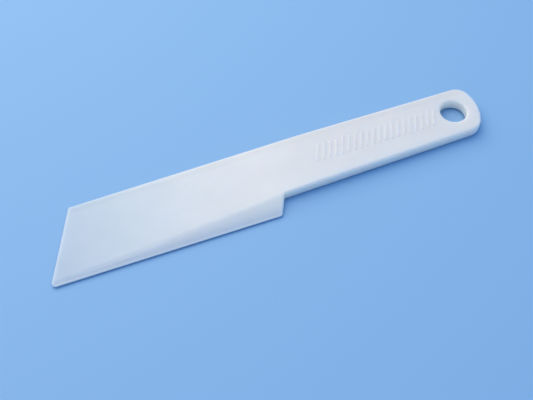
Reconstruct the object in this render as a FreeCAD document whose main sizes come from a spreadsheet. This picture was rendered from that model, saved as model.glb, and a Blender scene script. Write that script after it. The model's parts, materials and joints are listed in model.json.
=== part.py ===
import FreeCAD, Part

import math
import os

import Sketcher

# Flexible putty knife: one injection moulding in natural polypropylene, in millimetres.
# The origin is on the flat underside, below the middle of the moulding. +X runs from the scraping
# tip to the hanging end, +Y to the straight back edge and +Z up out of the flat underside.
DIMENSIONS = {
    # the whole moulding
    "overall_length": 203.2,
    "blade_width": 35.0,
    "handle_thickness": 4.9,
    # side view: the top falls from the handle's thickness to the tip's, past a soft break
    "tip_thickness": 1.1,
    "break_from_tip": 119.0,
    "break_radius": 250.0,
    # plan view: the tip and the heel both lean, and the handle narrows towards its end
    "tip_lean": 24.5,
    "heel_lean": 27.0,
    "heel_from_tip": 102.5,
    "handle_width_at_heel": 27.2,
    "handle_width_at_end": 24.3,
    "tip_front_corner_radius": 1.5,
    "tip_back_corner_radius": 1.0,
    "heel_corner_radius": 1.5,
    "heel_inner_radius": 1.0,
    "end_radius": 20.3,
    "end_centre_from_back": 10.7,
    "end_front_corner_radius": 7.6,
    "end_back_corner_radius": 6.4,
    # bevel along the front of the blade, down to the scraping edge
    "scraping_edge_thickness": 0.5,
    # rounded edges
    "top_edge_radius": 0.9,
    "hole_edge_radius": 1.0,
    # hanging hole
    "hole_diameter": 12.0,
    "hole_from_end": 12.05,
    "hole_from_back": 12.1,
    # low ribs across the top of the handle
    "rib_count": 20.0,
    "rib_pitch": 3.0,
    "rib_width": 1.5,
    "rib_length": 8.5,
    "rib_height": 0.25,
    "rib_root": 0.2,
    "first_rib_from_tip": 121.2,
    "ribs_from_back": 12.4,
    # how far the cutting shapes stand clear of the moulding
    "cut_margin": 5.0,
}

# Expressions that more than one sketch uses.
FALL_SLOPE = "(dims.handle_thickness - dims.tip_thickness) / dims.break_from_tip"
RIDGE_HEIGHT = f"dims.handle_thickness - {FALL_SLOPE} * (dims.break_from_tip - dims.heel_from_tip)"
BEVEL_SLOPE = (
    f"({RIDGE_HEIGHT} - dims.scraping_edge_thickness)"
    " / (dims.blade_width - dims.handle_width_at_heel)"
)
HANDLE_TAPER = (
    "atan((dims.handle_width_at_heel - dims.handle_width_at_end)"
    " / (dims.overall_length - dims.heel_from_tip))"
)
# how far the tip's sharp front corner would stand past its rounded one
TIP_CORNER_CUT = (
    "dims.tip_front_corner_radius"
    " * (1 / tan((90 deg - dims.tip_lean * 1 deg) / 2) - 1)"
)

# Sketcher's numbers for the points of a line or arc, and for the sketch's own axes.
START, END, CENTRE = 1, 2, 3
ORIGIN = (-1, START)
X_AXIS = -1

# Two places count as one within this distance, and a face as level or upright by its normal's z.
SAME_PLACE = 0.01
NEARLY_LEVEL = 0.99
NEARLY_UPRIGHT = 0.01


def add_dimension_sheet(doc):
    """Writes the driving dimensions to a sheet, one named cell each."""
    sheet = doc.addObject("Spreadsheet::Sheet", "dims")
    for row, (name, value) in enumerate(DIMENSIONS.items(), start=1):
        sheet.set(f"A{row}", name)
        sheet.set(f"B{row}", str(value))
        sheet.setAlias(f"B{row}", name)
    doc.recompute()


def add_sketch(body, name, role):
    """An empty sketch on one of the body's own origin planes."""
    sketch = body.newObject("Sketcher::SketchObject", name)
    plane = next(item for item in body.Origin.OriginFeatures if item.Role == role)
    sketch.AttachmentSupport = [(plane, "")]
    sketch.MapMode = "FlatFace"
    return sketch


def add_outline(sketch, corners):
    """Closed outline of straight lines through rough corners, which dimensions then pull to size."""
    lines = []
    for start, end in zip(corners, corners[1:] + corners[:1]):
        segment = Part.LineSegment(FreeCAD.Vector(*start, 0), FreeCAD.Vector(*end, 0))
        lines.append(sketch.addGeometry(segment, False))
    for line, following in zip(lines, lines[1:] + lines[:1]):
        sketch.addConstraint(Sketcher.Constraint("Coincident", line, END, following, START))
    return lines


def constrain(sketch, kind, *geometry):
    """The same plain constraint on each of several lines."""
    for item in geometry:
        sketch.addConstraint(Sketcher.Constraint(kind, item))


def bind(sketch, name, index, expression):
    sketch.renameConstraint(index, name)
    sketch.setExpression(f"Constraints.{name}", expression)


def set_distance(sketch, name, kind, first, second, expression):
    """DistanceX or DistanceY from one sketch point to another, bound to the sheet."""
    axis = 0 if kind == "DistanceX" else 1
    drawn = sketch.getPoint(*second)[axis] - sketch.getPoint(*first)[axis]
    index = sketch.addConstraint(Sketcher.Constraint(kind, *first, *second, drawn))
    bind(sketch, name, index, expression)


def set_angle(sketch, name, line, expression):
    """Angle of a line from the sketch's X axis, bound to the sheet."""
    drawn = sketch.getPoint(line, END) - sketch.getPoint(line, START)
    turn = FreeCAD.Vector(1, 0, 0).getAngle(drawn)
    index = sketch.addConstraint(Sketcher.Constraint("Angle", line, turn))
    bind(sketch, name, index, expression)


def set_radius(sketch, name, curve, expression):
    index = sketch.addConstraint(Sketcher.Constraint("Radius", curve, sketch.Geometry[curve].Radius))
    bind(sketch, name, index, expression)


def add_pad(body, name, sketch, expression, symmetric):
    pad = body.newObject("PartDesign::Pad", name)
    pad.Profile = sketch
    pad.SideType = "Symmetric" if symmetric else "One side"
    pad.setExpression("Length", expression)
    body.Document.recompute()
    return pad


def cut_through(body, name, sketch):
    """Cuts a sketch through the whole body, both ways, and checks that it took material off."""
    before = body.Shape.Volume
    pocket = body.newObject("PartDesign::Pocket", name)
    pocket.Profile = sketch
    pocket.Type = "ThroughAll"
    pocket.SideType = "Symmetric"
    body.Document.recompute()
    if not body.Shape.Volume < before:
        raise RuntimeError(f"{name} cut nothing")
    return pocket


def round_edges(body, name, edges, radius):
    """Rounds the given edges of the body's present shape."""
    if not edges:
        raise RuntimeError(f"{name} found no edges")
    base = body.Tip
    fillet = body.newObject("PartDesign::Fillet", name)
    fillet.Base = (base, edges)
    fillet.setExpression("Radius", radius)
    body.Document.recompute()
    return fillet


def edge_names(body, wanted):
    """Names of the edges of the body's present shape that pass a test."""
    shape = body.Shape
    return [f"Edge{n}" for n, edge in enumerate(shape.Edges, start=1) if wanted(shape, edge)]


def face_tilt(face):
    """How far up a face looks at its middle: 1 for a top, 0 for a wall, -1 for the underside."""
    u_low, u_high, v_low, v_high = face.ParameterRange
    return face.normalAt((u_low + u_high) / 2, (v_low + v_high) / 2).z


def stands_upright_at(place):
    """A test for the upright edge at one place in the plan."""

    def test(shape, edge):
        ends = [vertex.Point for vertex in edge.Vertexes]
        return len(ends) == 2 and all(
            abs(end.x - place.x) < SAME_PLACE and abs(end.y - place.y) < SAME_PLACE for end in ends
        )

    return test


def is_hole_rim(shape, edge):
    """A test for the hanging hole's two rims."""
    round_edge = isinstance(edge.Curve, Part.Circle)
    return round_edge and abs(edge.Curve.Radius - DIMENSIONS["hole_diameter"] / 2) < SAME_PLACE


def top_meets_wall(shape, edge):
    """A test for the edges where the top meets a wall."""
    tilts = [face_tilt(face) for face in shape.ancestorsOfType(edge, Part.Face)]
    return len(tilts) == 2 and max(tilts) > NEARLY_LEVEL and abs(min(tilts)) < NEARLY_UPRIGHT


def draw_side_profile(body):
    """Side view, wider than the moulding at both ends: flat underside, level handle, falling blade."""
    size = DIMENSIONS
    end = size["overall_length"] / 2 + size["cut_margin"]
    top = size["handle_thickness"]
    slope_start = size["break_from_tip"] - size["overall_length"] / 2
    sketch = add_sketch(body, "side_profile", "XZ_Plane")
    corners = [(-end, 0), (end, 0), (end, top), (slope_start, top), (-end, size["tip_thickness"])]
    underside, end_wall, handle_top, blade_top, tip_wall = add_outline(sketch, corners)
    sketch.addConstraint(Sketcher.Constraint("PointOnObject", underside, START, X_AXIS))
    constrain(sketch, "Horizontal", underside, handle_top)
    constrain(sketch, "Vertical", end_wall, tip_wall)
    reach = "dims.overall_length / 2 + dims.cut_margin"
    set_distance(sketch, "tip_reach", "DistanceX", (underside, START), ORIGIN, reach)
    set_distance(sketch, "end_reach", "DistanceX", ORIGIN, (underside, END), reach)
    set_distance(
        sketch, "thickness", "DistanceY", (end_wall, START), (end_wall, END), "dims.handle_thickness"
    )
    set_distance(
        sketch,
        "tip_height",
        "DistanceY",
        (tip_wall, END),
        (tip_wall, START),
        f"dims.tip_thickness - dims.cut_margin * {FALL_SLOPE}",
    )
    set_distance(
        sketch,
        "break_place",
        "DistanceX",
        (tip_wall, START),
        (blade_top, START),
        "dims.break_from_tip + dims.cut_margin",
    )
    # trims both lines, keeps their dimensions, and adds the arc and then the sharp corner's point
    sketch.fillet(handle_top, END, size["break_radius"], True, True)
    break_arc = sketch.GeometryCount - 2
    set_radius(sketch, "break_radius", break_arc, "dims.break_radius")
    body.Document.recompute()
    return sketch


def draw_plan_trim(body):
    """Everything outside the plan view: a frame whose hole is the moulding's outline."""
    size = DIMENSIONS
    half_length = size["overall_length"] / 2
    half_width = size["blade_width"] / 2
    sketch = add_sketch(body, "plan_trim", "XY_Plane")

    frame_x, frame_y = half_length + 2 * size["cut_margin"], half_width + 2 * size["cut_margin"]
    frame = add_outline(
        sketch, [(-frame_x, -frame_y), (frame_x, -frame_y), (frame_x, frame_y), (-frame_x, frame_y)]
    )
    constrain(sketch, "Horizontal", frame[0], frame[2])
    constrain(sketch, "Vertical", frame[1], frame[3])
    frame_half_length = "dims.overall_length / 2 + 2 * dims.cut_margin"
    frame_half_width = "dims.blade_width / 2 + 2 * dims.cut_margin"
    low, high = (frame[0], START), (frame[2], START)
    set_distance(sketch, "frame_left", "DistanceX", low, ORIGIN, frame_half_length)
    set_distance(sketch, "frame_front", "DistanceY", low, ORIGIN, frame_half_width)
    set_distance(sketch, "frame_right", "DistanceX", ORIGIN, high, frame_half_length)
    set_distance(sketch, "frame_back", "DistanceY", ORIGIN, high, frame_half_width)

    heel_x = size["heel_from_tip"] - half_length
    heel_y = half_width - size["handle_width_at_heel"]
    end_y = half_width - size["handle_width_at_end"]
    rough_corners = [
        (-half_length, -half_width),
        (heel_x - size["cut_margin"], -half_width),
        (heel_x, heel_y),
        (half_length - size["cut_margin"], end_y),
        (half_length - size["cut_margin"], half_width),
        (-half_length + half_width, half_width),
    ]
    blade_front, heel, handle_front, end_chord, back, tip = add_outline(sketch, rough_corners)
    sketch.toggleConstruction(end_chord)
    centre_x = half_length - size["end_radius"]
    centre_y = half_width - size["end_centre_from_back"]
    circle = Part.Circle(FreeCAD.Vector(centre_x, centre_y, 0), FreeCAD.Vector(0, 0, 1), size["end_radius"])
    below = math.asin((end_y - centre_y) / size["end_radius"])
    above = math.asin((half_width - centre_y) / size["end_radius"])
    end_arc = sketch.addGeometry(Part.ArcOfCircle(circle, below, above), False)
    sketch.addConstraint(Sketcher.Constraint("Coincident", end_arc, START, handle_front, END))
    sketch.addConstraint(Sketcher.Constraint("Coincident", end_arc, END, back, START))
    constrain(sketch, "Horizontal", blade_front, back)

    half_width_text = "dims.blade_width / 2"
    front_corner, back_corner = (blade_front, START), (tip, START)
    heel_corner = (handle_front, START)
    set_distance(sketch, "front_edge", "DistanceY", front_corner, ORIGIN, half_width_text)
    set_distance(sketch, "back_edge", "DistanceY", ORIGIN, back_corner, half_width_text)
    set_distance(
        sketch,
        "tip_corner",
        "DistanceX",
        front_corner,
        ORIGIN,
        f"dims.overall_length / 2 + {TIP_CORNER_CUT}",
    )
    set_distance(
        sketch,
        "tip_lean",
        "DistanceX",
        front_corner,
        back_corner,
        "dims.blade_width * tan(dims.tip_lean * 1 deg)",
    )
    set_distance(
        sketch,
        "heel_place",
        "DistanceX",
        ORIGIN,
        heel_corner,
        "dims.heel_from_tip - dims.overall_length / 2",
    )
    set_distance(
        sketch, "handle_width", "DistanceY", heel_corner, (back, START), "dims.handle_width_at_heel"
    )
    set_distance(
        sketch,
        "heel_lean",
        "DistanceX",
        (heel, START),
        heel_corner,
        "(dims.blade_width - dims.handle_width_at_heel) * tan(dims.heel_lean * 1 deg)",
    )
    set_angle(sketch, "handle_taper", handle_front, HANDLE_TAPER)
    set_radius(sketch, "end_radius", end_arc, "dims.end_radius")
    set_distance(
        sketch,
        "end_centre_x",
        "DistanceX",
        ORIGIN,
        (end_arc, CENTRE),
        "dims.overall_length / 2 - dims.end_radius",
    )
    set_distance(
        sketch,
        "end_centre_y",
        "DistanceY",
        (end_arc, CENTRE),
        (back, START),
        "dims.end_centre_from_back",
    )
    body.Document.recompute()
    rounded = {
        "tip_front_corner": front_corner,
        "tip_back_corner": back_corner,
        "heel_corner": (heel, START),
        "heel_inner": heel_corner,
        "end_front_corner": (end_arc, START),
        "end_back_corner": (end_arc, END),
    }
    return sketch, {name: sketch.getPoint(*point) for name, point in rounded.items()}


def draw_bevel(body):
    """Section across the blade of what the bevel takes off, from the scraping edge to the ridge."""
    size = DIMENSIONS
    left = size["blade_width"] / 2 + size["cut_margin"]
    top = size["handle_thickness"] + size["cut_margin"]
    sketch = add_sketch(body, "bevel_section", "YZ_Plane")
    slope, ceiling, side = add_outline(sketch, [(-left, -1), (left / 2, top), (-left, top)])
    constrain(sketch, "Horizontal", ceiling)
    constrain(sketch, "Vertical", side)
    foot = (slope, START)
    set_distance(sketch, "foot_side", "DistanceX", foot, ORIGIN, "dims.blade_width / 2 + dims.cut_margin")
    set_distance(
        sketch,
        "foot_drop",
        "DistanceY",
        foot,
        ORIGIN,
        f"dims.cut_margin * {BEVEL_SLOPE} - dims.scraping_edge_thickness",
    )
    set_distance(
        sketch,
        "ceiling_height",
        "DistanceY",
        ORIGIN,
        (side, START),
        "dims.handle_thickness + dims.cut_margin",
    )
    set_angle(sketch, "bevel_slope", slope, f"atan({BEVEL_SLOPE})")
    body.Document.recompute()
    return sketch


def draw_hole(body):
    sketch = add_sketch(body, "hole_circle", "XY_Plane")
    size = DIMENSIONS
    centre = FreeCAD.Vector(
        size["overall_length"] / 2 - size["hole_from_end"],
        size["blade_width"] / 2 - size["hole_from_back"],
        0,
    )
    circle = Part.Circle(centre, FreeCAD.Vector(0, 0, 1), size["hole_diameter"] / 2)
    hole = sketch.addGeometry(circle, False)
    middle = (hole, CENTRE)
    along = "dims.overall_length / 2 - dims.hole_from_end"
    across = "dims.blade_width / 2 - dims.hole_from_back"
    set_distance(sketch, "hole_x", "DistanceX", ORIGIN, middle, along)
    set_distance(sketch, "hole_y", "DistanceY", ORIGIN, middle, across)
    set_radius(sketch, "hole_radius", hole, "dims.hole_diameter / 2")
    body.Document.recompute()
    return sketch


def draw_rib(body):
    """The first rib seen from above, leaning as the tip does, just inside the handle's top."""
    size = DIMENSIONS
    x = size["first_rib_from_tip"] - size["overall_length"] / 2
    y = size["blade_width"] / 2 - size["ribs_from_back"] - size["rib_length"] / 2
    sketch = add_sketch(body, "rib_plan", "XY_Plane")
    sketch.setExpression("AttachmentOffset.Base.z", "dims.handle_thickness - dims.rib_root")
    width, length = size["rib_width"], size["rib_length"]
    near, right, far, left = add_outline(
        sketch, [(x, y), (x + width, y), (x + 2 * width, y + length), (x + width, y + length)]
    )
    constrain(sketch, "Horizontal", near, far)
    sketch.addConstraint(Sketcher.Constraint("Parallel", right, left))
    corner = (near, START)
    set_distance(sketch, "rib_width", "DistanceX", corner, (near, END), "dims.rib_width")
    set_distance(sketch, "rib_length", "DistanceY", corner, (left, START), "dims.rib_length")
    set_distance(
        sketch, "rib_lean", "DistanceX", corner, (left, START), "dims.rib_length * tan(dims.tip_lean * 1 deg)"
    )
    set_distance(
        sketch, "rib_x", "DistanceX", ORIGIN, corner, "dims.first_rib_from_tip - dims.overall_length / 2"
    )
    set_distance(
        sketch,
        "rib_y",
        "DistanceY",
        ORIGIN,
        corner,
        "dims.blade_width / 2 - dims.ribs_from_back - dims.rib_length / 2",
    )
    body.Document.recompute()
    return sketch


def add_ribs(body):
    """A row of low ribs along the middle of the handle's top."""
    sketch = draw_rib(body)
    rib = add_pad(body, "rib", sketch, "dims.rib_root + dims.rib_height", symmetric=False)
    row = body.newObject("PartDesign::LinearPattern", "rib_row")
    row.Originals = [rib]
    row.Direction = (sketch, ["H_Axis"])
    row.Mode = "Spacing"
    row.setExpression("Offset", "dims.rib_pitch")
    row.setExpression("Occurrences", "dims.rib_count")
    body.Tip = row
    body.Document.recompute()


def add_knife_moulding(doc):
    """Blade and handle in one piece, with a bevel, a hanging hole and low ribs."""
    body = doc.addObject("PartDesign::Body", "knife_moulding")
    body.Placement = FreeCAD.Placement()
    slab_width = "dims.blade_width + 2 * dims.cut_margin"
    add_pad(body, "slab", draw_side_profile(body), slab_width, symmetric=True)
    plan_trim, corners = draw_plan_trim(body)
    cut_through(body, "plan_cut", plan_trim)
    for name, place in corners.items():
        round_edges(body, name, edge_names(body, stands_upright_at(place)), f"dims.{name}_radius")
    round_edges(body, "top_edge", edge_names(body, top_meets_wall), "dims.top_edge_radius")
    cut_through(body, "bevel", draw_bevel(body))
    cut_through(body, "hanging_hole", draw_hole(body))
    round_edges(body, "hole_edge", edge_names(body, is_hole_rim), "dims.hole_edge_radius")
    add_ribs(body)
    return body


def main():
    doc = FreeCAD.newDocument("flexible_putty_knife")
    add_dimension_sheet(doc)
    bodies = [add_knife_moulding(doc)]
    doc.recompute()
    for item in doc.Objects:
        if "Invalid" in item.State or "Error" in item.State:
            raise RuntimeError(f"{item.Name} failed: {item.State}")
    os.makedirs("parts", exist_ok=True)
    for body in bodies:
        if body.Shape.isNull() or not body.Shape.isValid():
            raise RuntimeError(f"{body.Label} has no valid shape")
        body.Shape.exportStep(f"parts/{body.Label}.step")


main()
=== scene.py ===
import json
import math

import bmesh
import bpy
import numpy as np
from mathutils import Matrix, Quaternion, Vector
from mathutils.geometry import delaunay_2d_cdt


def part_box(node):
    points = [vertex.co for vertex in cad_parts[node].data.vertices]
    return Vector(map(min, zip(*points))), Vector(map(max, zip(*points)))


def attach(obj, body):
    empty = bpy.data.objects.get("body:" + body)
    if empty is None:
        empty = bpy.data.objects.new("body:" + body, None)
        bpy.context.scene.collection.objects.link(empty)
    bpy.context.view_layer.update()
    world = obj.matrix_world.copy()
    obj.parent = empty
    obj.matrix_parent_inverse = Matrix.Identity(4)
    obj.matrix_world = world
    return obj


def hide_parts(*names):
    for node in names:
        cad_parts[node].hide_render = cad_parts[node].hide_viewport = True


# Flexible putty knife, one milky plastic moulding. Everything is in metres in the part's own frame:
# +X from the scraping tip to the hanging end, +Y to the straight back edge, +Z up.
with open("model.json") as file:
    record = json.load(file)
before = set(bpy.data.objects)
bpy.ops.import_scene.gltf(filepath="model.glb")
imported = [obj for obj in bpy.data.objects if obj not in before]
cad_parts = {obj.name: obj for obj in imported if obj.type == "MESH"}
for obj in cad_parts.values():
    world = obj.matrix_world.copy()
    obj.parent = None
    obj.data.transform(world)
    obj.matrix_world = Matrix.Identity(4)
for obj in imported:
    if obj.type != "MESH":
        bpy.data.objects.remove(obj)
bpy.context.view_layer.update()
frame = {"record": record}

MM = 0.001
NODE = "knife_moulding"

# Sizes of the moulding, measured from its box where they can be.
LOW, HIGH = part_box(NODE)
HANDLE_THICKNESS = 4.9 * MM
TIP_THICKNESS = 1.1 * MM
EDGE_THICKNESS = 0.5 * MM
RIB_HEIGHT = HIGH.z - HANDLE_THICKNESS
BREAK_X = LOW.x + 119.0 * MM
BREAK_RADIUS = 250.0 * MM
TIP_LEAN = math.radians(24.5)
HEEL_LEAN = math.radians(27.0)
HEEL_X = LOW.x + 102.5 * MM
HANDLE_WIDTH_AT_HEEL = 27.2 * MM
HANDLE_WIDTH_AT_END = 24.3 * MM
TIP_FRONT_RADIUS = 1.5 * MM
TIP_BACK_RADIUS = 1.0 * MM
HEEL_RADIUS = 1.5 * MM
HEEL_INNER_RADIUS = 1.0 * MM
END_RADIUS = 20.3 * MM
END_CENTRE = Vector((HIGH.x - END_RADIUS, HIGH.y - 10.7 * MM))
END_FRONT_RADIUS = 7.6 * MM
END_BACK_RADIUS = 6.4 * MM
TOP_EDGE_RADIUS = 0.9 * MM
BOTTOM_EDGE_RADIUS = 0.2 * MM
RIDGE_SOFTNESS_AT_HEEL = 0.18 * MM
RIDGE_SOFTNESS_AT_TIP = 0.8 * MM
# Where the wall is low, its rounded edges take at most these shares of its height.
TOP_EDGE_SHARE = 0.6
BOTTOM_EDGE_SHARE = 0.15
# Past the heel the bevel's plane rises this steeply too, which keeps it above the handle.
RISE_PAST_HEEL = 0.25
WAVE_DEPTH = 0.012 * MM
WAVE_SINK = 0.018 * MM

HOLE = next(m for m in frame["record"]["mounts"] if m["name"] == "hanging_hole")
HOLE_CENTRE = Vector(HOLE["pos_m"][:2])
HOLE_RADIUS = HOLE["dims"]["r_mm"] * MM
HOLE_EDGE_RADIUS = 1.0 * MM

RIB_COUNT = 20
RIB_PITCH = 3.0 * MM
RIB_WIDTH = 1.5 * MM
RIB_LENGTH = 8.5 * MM
RIB_CORNER_RADIUS = 0.45 * MM
RIB_SHOULDER = 0.35 * MM
RIB_CENTRE = Vector((LOW.x + 121.2 * MM, HIGH.y - 12.4 * MM))
RIB_CENTRE.x += RIB_WIDTH / 2 + RIB_LENGTH / 2 * math.tan(TIP_LEAN)

FALL_SLOPE = (HANDLE_THICKNESS - TIP_THICKNESS) / (BREAK_X - LOW.x)
HEEL_INNER = Vector((HEEL_X, HIGH.y - HANDLE_WIDTH_AT_HEEL))
RIDGE_HEIGHT = HANDLE_THICKNESS - FALL_SLOPE * (BREAK_X - HEEL_X)
BEVEL_SLOPE = (RIDGE_HEIGHT - EDGE_THICKNESS) / (HEEL_INNER.y - LOW.y)

# Spacing of the mesh: along the outlines, and round a free point of a filled face.
OUTLINE_STEP = 1.2 * MM
POINT_GAP = 0.5 * MM

# The floor lies a little below the underside, because that widens the shadow next to the knife.
FLOOR_GAP = 0.8 * MM
FLOOR_SIZE = 6.0

# Where the camera looks from: along +Y and down, turned towards the tip.
CAMERA_AIM = Vector((-6.46, -7.48, 0.0)) * MM
CAMERA_DISTANCE = 384.8 * MM
CAMERA_AZIMUTH = math.radians(-22.49)
CAMERA_ELEVATION = math.radians(55.05)
CAMERA_ROLL = math.radians(1.55)
CAMERA_VIEW_ANGLE = math.radians(32.96)


# ---------------------------------------------------------------- outline in plan


def turned_right(direction):
    """The outward side of an outline that runs anticlockwise."""
    return Vector((direction.y, -direction.x))


def arc_points(centre, radius, start, turn, step=math.radians(7.5)):
    """(point, outward normal) pairs round an arc; a negative turn is a hollow corner."""
    count = max(3, math.ceil(abs(turn) / step))
    side = 1 if turn > 0 else -1
    pairs = []
    for n in range(count + 1):
        angle = start + turn * n / count
        normal = Vector((math.cos(angle), math.sin(angle)))
        pairs.append((centre + normal * radius * side, normal))
    return pairs


def corner_points(before, corner, after, radius, step=math.radians(7.5)):
    """A corner of straight sides, rounded."""
    arriving = (corner - before).normalized()
    leaving = (after - corner).normalized()
    turn = math.atan2(arriving.cross(leaving), arriving.dot(leaving))
    side = 1 if turn > 0 else -1
    outward = turned_right(arriving)
    centre = corner - arriving * radius * math.tan(abs(turn) / 2) - outward * radius * side
    return arc_points(centre, radius, math.atan2(outward.y, outward.x), turn, step)


def joined(stretches, step):
    """One closed loop of (point, normal) pairs from rounded stretches and the straights between."""
    loop = []
    for stretch, following in zip(stretches, stretches[1:] + stretches[:1]):
        loop += stretch
        (start, normal), (end, _) = stretch[-1], following[0]
        count = round((end - start).length / step)
        loop += [(start.lerp(end, n / count), normal) for n in range(1, count)]
    return loop


def moulding_outline():
    """The outline seen from above, anticlockwise from the tip's front corner."""
    corner_angle = math.pi / 2 - TIP_LEAN
    overshoot = TIP_FRONT_RADIUS * (1 / math.tan(corner_angle / 2) - 1)
    tip_front = Vector((LOW.x - overshoot, LOW.y))
    tip_back = Vector((tip_front.x + (HIGH.y - LOW.y) * math.tan(TIP_LEAN), HIGH.y))
    heel_front = Vector((HEEL_X - (HEEL_INNER.y - LOW.y) * math.tan(HEEL_LEAN), LOW.y))
    narrowing = HANDLE_WIDTH_AT_HEEL - HANDLE_WIDTH_AT_END
    handle_front = Vector((HIGH.x - HEEL_X, narrowing)).normalized()
    outward = turned_right(handle_front)

    # The end's front corner touches the handle's front and the end's large arc from inside.
    start = HEEL_INNER - outward * END_FRONT_RADIUS
    to_start = start - END_CENTRE
    along = to_start.dot(handle_front)
    reach = END_RADIUS - END_FRONT_RADIUS
    run = -along + math.sqrt(along**2 - to_start.length_squared + reach**2)
    front_centre = start + handle_front * run
    back_y = HIGH.y - END_BACK_RADIUS
    back_reach = END_RADIUS - END_BACK_RADIUS
    back_x = END_CENTRE.x + math.sqrt(back_reach**2 - (back_y - END_CENTRE.y) ** 2)
    back_centre = Vector((back_x, back_y))

    side = math.atan2(outward.y, outward.x)
    front_meet = math.atan2(*reversed(front_centre - END_CENTRE))
    back_meet = math.atan2(*reversed(back_centre - END_CENTRE))
    end = arc_points(front_centre, END_FRONT_RADIUS, side, front_meet - side)
    end += arc_points(END_CENTRE, END_RADIUS, front_meet, back_meet - front_meet, math.radians(3))[1:]
    end += arc_points(back_centre, END_BACK_RADIUS, back_meet, math.pi / 2 - back_meet)[1:]
    return joined(
        [
            corner_points(tip_back, tip_front, heel_front, TIP_FRONT_RADIUS),
            corner_points(tip_front, heel_front, HEEL_INNER, HEEL_RADIUS),
            corner_points(heel_front, HEEL_INNER, HEEL_INNER + handle_front, HEEL_INNER_RADIUS),
            end,
            corner_points(Vector((HIGH.x, HIGH.y)), tip_back, tip_front, TIP_BACK_RADIUS),
        ],
        OUTLINE_STEP,
    )


def hole_outline():
    """The hanging hole, clockwise, so that its normals also point out of the plastic."""
    count = 72
    loop = []
    for n in range(count):
        angle = -math.tau * n / count
        spoke = Vector((math.cos(angle), math.sin(angle)))
        loop.append((HOLE_CENTRE + spoke * HOLE_RADIUS, -spoke))
    return loop


def rib_outline(number):
    """One low rib on the handle, leaning as the tip does, anticlockwise."""
    centre = RIB_CENTRE + Vector((number * RIB_PITCH, 0))
    along = Vector((math.tan(TIP_LEAN), 1)) * RIB_LENGTH / 2
    across = Vector((RIB_WIDTH / 2, 0))
    corners = [
        centre - along - across,
        centre - along + across,
        centre + along + across,
        centre + along - across,
    ]
    rounded = []
    for n, corner in enumerate(corners):
        after = corners[(n + 1) % 4]
        rounded.append(corner_points(corners[n - 1], corner, after, RIB_CORNER_RADIUS, math.radians(20)))
    return joined(rounded, OUTLINE_STEP)


# ---------------------------------------------------------------- heights


def falling_top(x):
    """Level handle, then the blade's fall to the tip, with a soft break between."""
    before_break = BREAK_X - x
    half_arc = BREAK_RADIUS * FALL_SLOPE / 2
    if before_break <= -half_arc:
        return HANDLE_THICKNESS
    if before_break < half_arc:
        return HANDLE_THICKNESS - (before_break + half_arc) ** 2 / (2 * BREAK_RADIUS)
    return HANDLE_THICKNESS - FALL_SLOPE * before_break


def softly_lower(a, b, softness):
    """The lower of two heights, with the edge between them rounded off."""
    overlap = max(softness - abs(a - b), 0) / softness
    return min(a, b) - overlap**2 * softness / 4


def waviness(x, y):
    """Slight shrinkage of the moulded face, sunk so that it stays below the CAD's surface."""
    slow = math.sin(x / (17 * MM) + 1.3) * math.sin(y / (11 * MM) + 0.4)
    quick = math.sin(x / (6.1 * MM) + y / (9.0 * MM)) * math.sin(y / (5.3 * MM) - x / (23 * MM))
    return WAVE_DEPTH * (slow + 0.5 * quick) - WAVE_SINK


def top_height(x, y):
    """The top or the bevel, whichever is lower, with the ridge softer towards the tip."""
    past_heel = max(x - HEEL_X, 0)
    bevel = EDGE_THICKNESS + BEVEL_SLOPE * (y - LOW.y) + RISE_PAST_HEEL * past_heel
    share = min(max((HEEL_X - x) / (HEEL_X - LOW.x), 0), 1)
    softness = RIDGE_SOFTNESS_AT_HEEL + share * (RIDGE_SOFTNESS_AT_TIP - RIDGE_SOFTNESS_AT_HEEL)
    smooth = softly_lower(falling_top(x), bevel, softness)
    return smooth + waviness(x, y) * min(smooth / HANDLE_THICKNESS, 1)


# ---------------------------------------------------------------- mesh


def add_rows(mesh, columns):
    """Quads through columns of places round a loop. Returns the first and the last row of vertices."""
    rows = list(zip(*[[mesh.verts.new(place) for place in column] for column in columns]))
    for lower, upper in zip(rows, rows[1:]):
        for n in range(len(columns)):
            after = (n + 1) % len(columns)
            mesh.faces.new((lower[n], lower[after], upper[after], upper[n]))
    return rows[0], rows[-1]


def add_wall(mesh, loop, edge_radius):
    """The wall round an outline from the underside to the top, with both edges rounded."""
    foot_steps, edge_steps = 3, 6
    columns = []
    for point, normal in loop:
        height = top_height(*point)
        radius = min(edge_radius, TOP_EDGE_SHARE * height)
        foot = min(BOTTOM_EDGE_RADIUS, BOTTOM_EDGE_SHARE * height)
        column = []
        for n in range(foot_steps + 1):
            angle = math.pi / 2 * n / foot_steps
            place = point - normal * foot * (1 - math.sin(angle))
            column.append((*place, foot * (1 - math.cos(angle))))
        for n in range(edge_steps + 1):
            angle = math.pi / 2 * n / edge_steps
            place = point - normal * radius * (1 - math.cos(angle))
            column.append((*place, top_height(*place) - radius * (1 - math.sin(angle))))
        columns.append(column)
    return add_rows(mesh, columns)


def add_rib_sides(mesh, loop):
    """The soft shoulder round one rib."""
    steps = 5
    columns = []
    for point, normal in loop:
        column = []
        for n in range(steps + 1):
            share = n / steps
            place = point - normal * RIB_SHOULDER * share
            rise = RIB_HEIGHT * share * share * (3 - 2 * share)
            column.append((*place, top_height(*place) + rise))
        columns.append(column)
    return add_rows(mesh, columns)


def solid_faces(faces, rim):
    """The faces on the left of the rim's edges, and all that they reach without crossing the rim."""
    owner = {}
    for number, face in enumerate(faces):
        for edge in zip(face, face[1:] + face[:1]):
            owner[edge] = number
    found = {owner[edge] for edge in rim}
    waiting = list(found)
    while waiting:
        face = faces[waiting.pop()]
        for a, b in zip(face, face[1:] + face[:1]):
            beyond = owner.get((b, a))
            if (a, b) not in rim and beyond not in found:
                found.add(beyond)
                waiting.append(beyond)
    return [faces[number] for number in sorted(found)]


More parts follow.
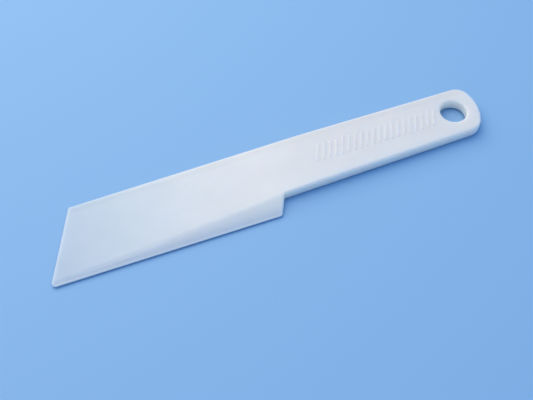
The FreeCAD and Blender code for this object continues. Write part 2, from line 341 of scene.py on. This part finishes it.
def inside(points, loop):
    """For each point, whether it lies inside a closed loop."""
    x, y = points[:, 0, None], points[:, 1, None]
    start, end = loop, np.roll(loop, -1, axis=0)
    spans = (start[:, 1] > y) != (end[:, 1] > y)
    rise = np.where(end[:, 1] == start[:, 1], 1.0, end[:, 1] - start[:, 1])
    crossing = start[:, 0] + (y - start[:, 1]) / rise * (end[:, 0] - start[:, 0])
    return (spans & (x < crossing)).sum(axis=1) % 2 == 1


def free_points(points, loops, gap):
    """The points inside the first loop and outside the others, with a gap round each loop."""
    keep = np.ones(len(points), bool)
    for number, loop in enumerate(loops):
        places = np.array([vert.co.xy for vert in loop])
        keep &= inside(points, places) == (number == 0)
        for place in places:
            keep &= np.hypot(*(points - place).T) > gap
    return points[keep]


def fill(mesh, loops, points, height):
    """Fills an outline's row, apart from the holes' rows, through free points at the given height.

    Each row of vertices has the plastic on its left, seen from above."""
    edge_verts = [vert for loop in loops for vert in loop]
    number_of = {vert: number for number, vert in enumerate(edge_verts)}
    rim = set()
    for loop in loops:
        numbers = [number_of[vert] for vert in loop]
        rim.update(zip(numbers, numbers[1:] + numbers[:1]))
    if len(points):
        points = free_points(points, loops, POINT_GAP)
    places = [vert.co.xy / MM for vert in edge_verts] + [Vector(point) / MM for point in points]
    _, _, faces, _, _, _ = delaunay_2d_cdt(places, list(rim), [], 0, 1e-9, True)
    verts = edge_verts + [mesh.verts.new((*point, height(*point))) for point in points]
    made = [mesh.faces.new([verts[n] for n in face]) for face in solid_faces(faces, rim)]
    limit = math.radians(50)
    bmesh.ops.join_triangles(mesh, faces=made, angle_face_threshold=limit, angle_shape_threshold=limit)


def ridge_y(x):
    """Where the bevel meets the blade's top."""
    return LOW.y + (falling_top(x) - EDGE_THICKNESS) / BEVEL_SLOPE


def top_points():
    """Free points of the top, in columns that lean as the tip does, and close together along the ridge."""
    row_spacing, ridge_band, ridge_gap = 1.1 * MM, 1.5, 1.8 * MM
    points = []
    for start in np.arange(LOW.x, HIGH.x, OUTLINE_STEP):
        for y in np.arange(LOW.y, HIGH.y, row_spacing):
            x = start + (y - LOW.y) * math.tan(TIP_LEAN)
            if x > HEEL_X + 1 * MM or abs(y - ridge_y(x)) > ridge_gap:
                points.append((x, y))
        if start < HEEL_X:
            steps = np.linspace(-ridge_band, ridge_band, 9)
            points += [(start, ridge_y(start) + step * MM) for step in steps]
    return np.array(points)


def underside_points():
    """Free points of the flat underside, in a square grid."""
    spacing = 3 * MM
    grid = np.meshgrid(np.arange(LOW.x, HIGH.x, spacing), np.arange(LOW.y, HIGH.y, spacing))
    return np.stack([axis.ravel() for axis in grid], axis=1)


def build_moulding():
    """Blade and handle in one piece, with every edge rounded."""
    mesh = bmesh.new()
    low_outline, high_outline = add_wall(mesh, moulding_outline(), TOP_EDGE_RADIUS)
    low_hole, high_hole = add_wall(mesh, hole_outline(), HOLE_EDGE_RADIUS)
    rib_feet = []
    for number in range(RIB_COUNT):
        foot, crest = add_rib_sides(mesh, rib_outline(number))
        fill(mesh, [crest], [], None)
        rib_feet.append(foot[::-1])
    fill(mesh, [low_outline, low_hole], underside_points(), lambda x, y: 0.0)
    fill(mesh, [high_outline, high_hole, *rib_feet], top_points(), top_height)
    bmesh.ops.recalc_face_normals(mesh, faces=mesh.faces)
    for face in mesh.faces:
        face.smooth = True
    data = bpy.data.meshes.new("putty_knife")
    mesh.to_mesh(data)
    mesh.free()
    piece = bpy.data.objects.new("putty_knife", data)
    bpy.context.scene.collection.objects.link(piece)
    modifier = piece.modifiers.new("even_normals", "WEIGHTED_NORMAL")
    modifier.weight = 50
    modifier.keep_sharp = True
    return piece


# ---------------------------------------------------------------- materials


def new_material(name):
    """A material with its nodes and links."""
    material = bpy.data.materials.new(name)
    material.use_nodes = True
    return material, material.node_tree.nodes, material.node_tree.links


def split(nodes, links, vector):
    """The three components of a vector output."""
    node = nodes.new("ShaderNodeSeparateXYZ")
    links.new(vector, node.inputs["Vector"])
    return [node.outputs[axis] for axis in "XYZ"]


def add_noise(nodes, links, place, stretch, scale, detail=3.0):
    """Noise in the object's own metres, stretched by a factor along each axis. Returns its output."""
    mapping = nodes.new("ShaderNodeMapping")
    mapping.inputs["Scale"].default_value = stretch
    noise = nodes.new("ShaderNodeTexNoise")
    noise.inputs["Scale"].default_value = scale
    noise.inputs["Detail"].default_value = detail
    links.new(place, mapping.inputs["Vector"])
    links.new(mapping.outputs["Vector"], noise.inputs["Vector"])
    return noise.outputs["Fac"]


def add_ramp(nodes, links, value, stops):
    """A colour or grey for each value, from (position, colour) pairs. Returns its output."""
    ramp = nodes.new("ShaderNodeValToRGB")
    elements = ramp.color_ramp.elements
    elements[1].position = stops[-1][0]
    elements[0].position = stops[0][0]
    for position, _ in stops[1:-1]:
        elements.new(position)
    for element, (_, colour) in zip(elements, stops):
        element.color = colour
    links.new(value, ramp.inputs["Fac"])
    return ramp.outputs["Color"]


def grey(value):
    return (value, value, value, 1)


def add_map(nodes, links, value, low, high, to_low, to_high):
    """A value carried from one range to another, and held at its ends."""
    node = nodes.new("ShaderNodeMapRange")
    for name, number in (("From Min", low), ("From Max", high), ("To Min", to_low), ("To Max", to_high)):
        node.inputs[name].default_value = number
    links.new(value, node.inputs["Value"])
    return node.outputs["Result"]


def add_math(nodes, links, operation, first, second):
    """One operation on two outputs. Returns its output."""
    node = nodes.new("ShaderNodeMath")
    node.operation = operation
    links.new(first, node.inputs[0])
    links.new(second, node.inputs[1])
    return node.outputs["Value"]


def add_mix(nodes, links, kind, factor, first, second):
    """Two colours mixed. A factor or colour may be an output or a constant. Returns its output."""
    node = nodes.new("ShaderNodeMix")
    node.data_type = "RGBA"
    node.blend_type = kind
    for name, value in (("Factor_Float", factor), ("A_Color", first), ("B_Color", second)):
        socket = next(s for s in node.inputs if s.identifier == name)
        if isinstance(value, bpy.types.NodeSocket):
            links.new(value, socket)
        else:
            socket.default_value = value
    return next(s for s in node.outputs if s.identifier == "Result_Color")


def milky_plastic():
    """Milky satin plastic that scatters light inside, but lets none of the ground through. Its colours
    paint in shade, light and the ground's blue instead.
    """
    material, nodes, links = new_material("milky_polypropylene")
    shader = nodes["Principled BSDF"]
    shader.inputs["IOR"].default_value = 1.49
    shader.inputs["Subsurface Radius"].default_value = (1.0, 0.85, 0.7)
    shader.inputs["Subsurface Scale"].default_value = 5.0 * MM

    coordinates = nodes.new("ShaderNodeTexCoord")
    place = coordinates.outputs["Object"]
    x, y, z = split(nodes, links, place)
    _, sideways, upward = split(nodes, links, coordinates.outputs["Normal"])

    # In the photograph the thin blade looks bluer and darker, as if the ground showed through. The colours
    # stand in for that: painted shade, with the ground's blue painted in, stronger where the plastic is
    # thinner. The underside is flat, so the height of the top is the thickness.
    thickness = add_map(nodes, links, z, 0.0, HANDLE_THICKNESS, 0.0, 1.0)
    top = add_ramp(nodes, links, thickness, [
        (0.20, (0.54, 0.665, 0.79, 1)),
        (0.32, (0.585, 0.69, 0.79, 1)),
        (0.45, (0.66, 0.74, 0.80, 1)),
        (0.62, (0.77, 0.795, 0.81, 1)),
        (0.85, (0.84, 0.83, 0.82, 1)),
        (1.0, (0.81, 0.80, 0.795, 1)),
    ])
    # Painted light: the bevel's colours are paler than the top's, to light up a face turned from the lamp.
    bevel = add_ramp(nodes, links, thickness, [
        (0.10, (0.78, 0.855, 0.92, 1)),
        (0.30, (0.87, 0.89, 0.91, 1)),
        (0.50, (0.92, 0.91, 0.885, 1)),
        (0.85, (0.955, 0.92, 0.86, 1)),
    ])
    # The bevel is told apart by its slope, on the blade only, and a wall by looking sideways. Each has
    # colours of its own, set for this light: lit and shaded copies of one plastic. The bevel and the walls
    # are painted paler than the top, as painted light where the lamp reaches them less.
    bevel_tilt = -math.sin(math.atan(BEVEL_SLOPE))
    tilted = add_map(nodes, links, sideways, bevel_tilt, 0.35 * bevel_tilt, 1.0, 0.0)
    on_blade = add_map(nodes, links, x, HEEL_X - 1.0 * MM, HEEL_X, 1.0, 0.0)
    on_bevel = add_math(nodes, links, "MULTIPLY", tilted, on_blade)
    level = add_map(nodes, links, upward, 0.3, 0.8, 0.0, 1.0)
    upper = add_mix(nodes, links, "MIX", on_bevel, top, bevel)
    body = add_mix(nodes, links, "MIX", level, (0.97, 0.91, 0.85, 1), upper)
    # Painted shade: the colour is darkened towards the back edge, over its last 5 mm.
    back_width, back_shade = 5.0 * MM, 0.88
    from_back = add_map(nodes, links, y, HIGH.y - back_width, HIGH.y, 1.0, back_shade)
    body = add_mix(nodes, links, "MULTIPLY", 1.0, body, from_back)

    # The scraping edge, and more faintly the tip, are painted pale: a painted highlight along the rim,
    # where the plastic also scatters less light inside.
    from_tip = nodes.new("ShaderNodeVectorMath")
    from_tip.operation = "DOT_PRODUCT"
    from_tip.inputs[1].default_value = (math.cos(TIP_LEAN), -math.sin(TIP_LEAN), 0)
    links.new(place, from_tip.inputs[0])
    tip_start = LOW.x * math.cos(TIP_LEAN) - LOW.y * math.sin(TIP_LEAN)
    tip_end, tip_share = tip_start + 1.0 * MM, 0.15
    near_tip = add_map(nodes, links, from_tip.outputs["Value"], tip_start, tip_end, tip_share, 0.0)
    near_edge = add_map(nodes, links, y, LOW.y + 0.4 * MM, LOW.y + 0.9 * MM, 1.0, 0.0)
    rim_highlight = add_math(nodes, links, "MAXIMUM", near_tip, near_edge)
    body = add_mix(nodes, links, "MIX", rim_highlight, body, (0.90, 0.92, 0.93, 1))
    links.new(add_map(nodes, links, rim_highlight, 0.0, 1.0, 1.0, 0.2), shader.inputs["Subsurface Weight"])
    clouds = add_noise(nodes, links, place, (1.0, 1.6, 1.0), 55.0)
    clouded = add_mix(nodes, links, "MULTIPLY", 1.0, body,
                      add_ramp(nodes, links, clouds, [(0.3, grey(0.965)), (0.7, grey(1.0))]))
    links.new(clouded, shader.inputs["Base Color"])

    # Satin mould finish, with faint streaks along the knife.
    satin = add_noise(nodes, links, place, (1.0, 3.0, 1.0), 90.0)
    links.new(add_map(nodes, links, satin, 0.3, 0.7, 0.38, 0.50), shader.inputs["Roughness"])
    peel = add_noise(nodes, links, place, (1.0, 1.0, 1.0), 900.0, 2.0)
    bump = nodes.new("ShaderNodeBump")
    bump.inputs["Strength"].default_value = 0.25
    bump.inputs["Distance"].default_value = 0.02 * MM
    links.new(peel, bump.inputs["Height"])
    links.new(bump.outputs["Normal"], shader.inputs["Normal"])
    return material


def pale_floor():
    """A plain pale blue ground."""
    material, nodes, _ = new_material("pale_floor")
    shader = nodes["Principled BSDF"]
    shader.inputs["Base Color"].default_value = (0.26, 0.49, 0.79, 1)
    shader.inputs["Roughness"].default_value = 0.7
    return material


# ---------------------------------------------------------------- stage, light and camera


def add_floor():
    """A large level floor, which is not part of the object."""
    mesh = bmesh.new()
    bmesh.ops.create_grid(mesh, x_segments=4, y_segments=4, size=FLOOR_SIZE)
    data = bpy.data.meshes.new("floor")
    mesh.to_mesh(data)
    mesh.free()
    floor = bpy.data.objects.new("floor", data)
    floor.location.z = LOW.z - FLOOR_GAP
    data.materials.append(pale_floor())
    bpy.context.scene.collection.objects.link(floor)


def add_area_light(name, place, size, power, colour):
    """A soft square light that faces the knife."""
    data = bpy.data.lights.new(name, "AREA")
    data.shape = "SQUARE"
    data.size = size
    data.energy = power
    data.color = colour
    light = bpy.data.objects.new(name, data)
    light.location = place
    light.rotation_euler = (-Vector(place)).to_track_quat("-Z", "Y").to_euler()
    bpy.context.scene.collection.objects.link(light)


def add_lights():
    """A warm soft light from behind the knife, and a bluish surrounding that fills the shadows."""
    add_area_light("key_light", (-0.16, 0.45, 0.62), 0.90, 5.7, (1.0, 0.835, 0.61))
    world = bpy.data.worlds.new("studio")
    world.use_nodes = True
    background = world.node_tree.nodes["Background"]
    background.inputs["Color"].default_value = (0.58, 0.86, 1.28, 1)
    background.inputs["Strength"].default_value = 0.57
    bpy.context.scene.world = world


def add_camera():
    """The camera at the photograph's viewing angle."""
    data = bpy.data.cameras.new("camera")
    data.sensor_fit = "HORIZONTAL"
    data.angle = CAMERA_VIEW_ANGLE
    data.clip_start = 0.01
    camera = bpy.data.objects.new("camera", data)
    level = math.cos(CAMERA_ELEVATION)
    right, front = math.sin(CAMERA_AZIMUTH) * level, -math.cos(CAMERA_AZIMUTH) * level
    back = Vector((right, front, math.sin(CAMERA_ELEVATION)))
    camera.location = CAMERA_AIM + back * CAMERA_DISTANCE
    roll = Quaternion((0, 0, 1), CAMERA_ROLL)
    camera.rotation_euler = ((-back).to_track_quat("-Z", "Y") @ roll).to_euler()
    bpy.context.scene.collection.objects.link(camera)
    bpy.context.scene.camera = camera


moulding = build_moulding()
moulding.data.materials.append(milky_plastic())
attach(moulding, "root")
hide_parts(NODE)
add_floor()
add_lights()
add_camera()
bpy.context.scene.view_settings.view_transform = "Standard"
